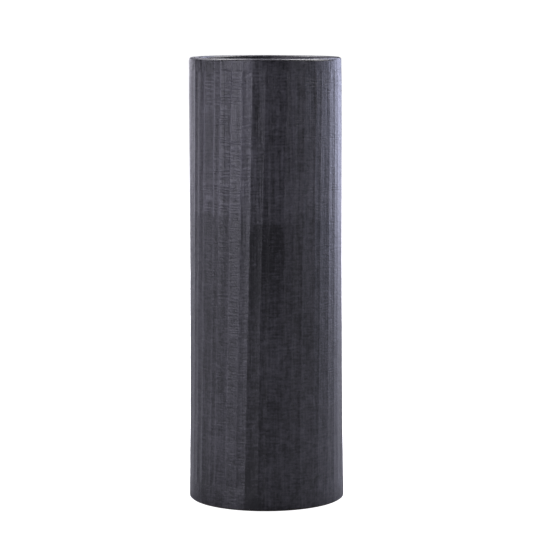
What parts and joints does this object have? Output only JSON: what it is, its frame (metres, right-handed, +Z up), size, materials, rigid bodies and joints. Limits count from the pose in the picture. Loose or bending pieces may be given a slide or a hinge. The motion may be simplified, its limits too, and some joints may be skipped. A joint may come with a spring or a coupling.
{
  "type": "cylinder vase",
  "caption": "Tall straight-sided stoneware vase with shallow hand-shaved vertical flutes, plain bands at rim and foot, rounded rim, satin charcoal glaze outside and black gloss lining.",
  "frame": {"origin": "middle of the circle the vase stands on, at the bottom centre of its bounding box", "axes": "+Z up along the vase's own axis, -Y towards the viewer, +X to the viewer's right"},
  "size_m": [0.1244, 0.1244, 0.355],
  "materials": {
    "stoneware": "bare dark stoneware, fine grog, dry matte",
    "slip": "fired joining slip, dry matte",
    "satin_glaze": "satin charcoal glaze, slightly thinner and lighter on the ridges",
    "gloss_glaze": "black gloss liner glaze"
  },
  "bodies": {
    "root": {"fluted_wall": "stoneware", "floor_slab": "stoneware", "corner_coil": "stoneware", "rim_coil": "stoneware", "floor_slip_seam": "slip", "rim_slip_seam": "slip", "outer_glaze": "satin_glaze", "inner_glaze": "gloss_glaze"}
  },
  "joints": []
}
